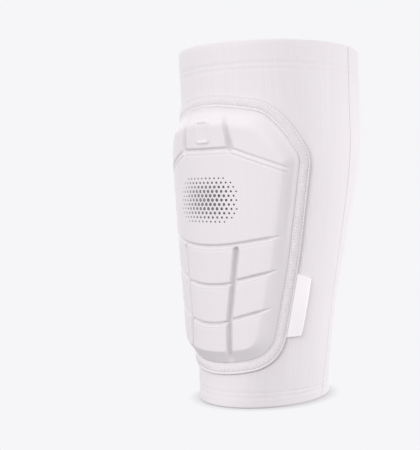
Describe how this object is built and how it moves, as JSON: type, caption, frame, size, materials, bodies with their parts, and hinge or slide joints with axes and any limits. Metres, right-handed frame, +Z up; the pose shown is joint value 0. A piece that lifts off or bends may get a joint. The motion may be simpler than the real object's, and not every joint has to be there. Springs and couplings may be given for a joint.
{
  "type": "shin guard",
  "caption": "Knitted leg sleeve, open at both ends, with a grooved foam pad on the shin, a stitched border and a folded side label.",
  "frame": {"origin": "on the ground under the middle of the guard's box, with the leg's axis 5 mm in front of it", "axes": "+Z up the leg from ankle to knee, -Y out of the shin (the padded front), +X to the side that carries the label"},
  "size_m": [0.1302, 0.1424, 0.25],
  "materials": {
    "knit": "fine ribbed stretch knit, off-white",
    "pad_cover": "stretch cloth moulded over foam, off-white, soft satin",
    "border_cloth": "flat knitted band with close cover stitching, off-white",
    "label_ribbon": "woven satin ribbon, white, plain",
    "foil_print": "thin printed silver-grey dots, half glossy",
    "thread": "polyester sewing thread, off-white"
  },
  "bodies": {
    "root": {"front_panel": "knit", "back_panel": "knit", "foam_pad": "pad_cover", "pad_border": "border_cloth", "side_label": "label_ribbon"}
  },
  "joints": []
}
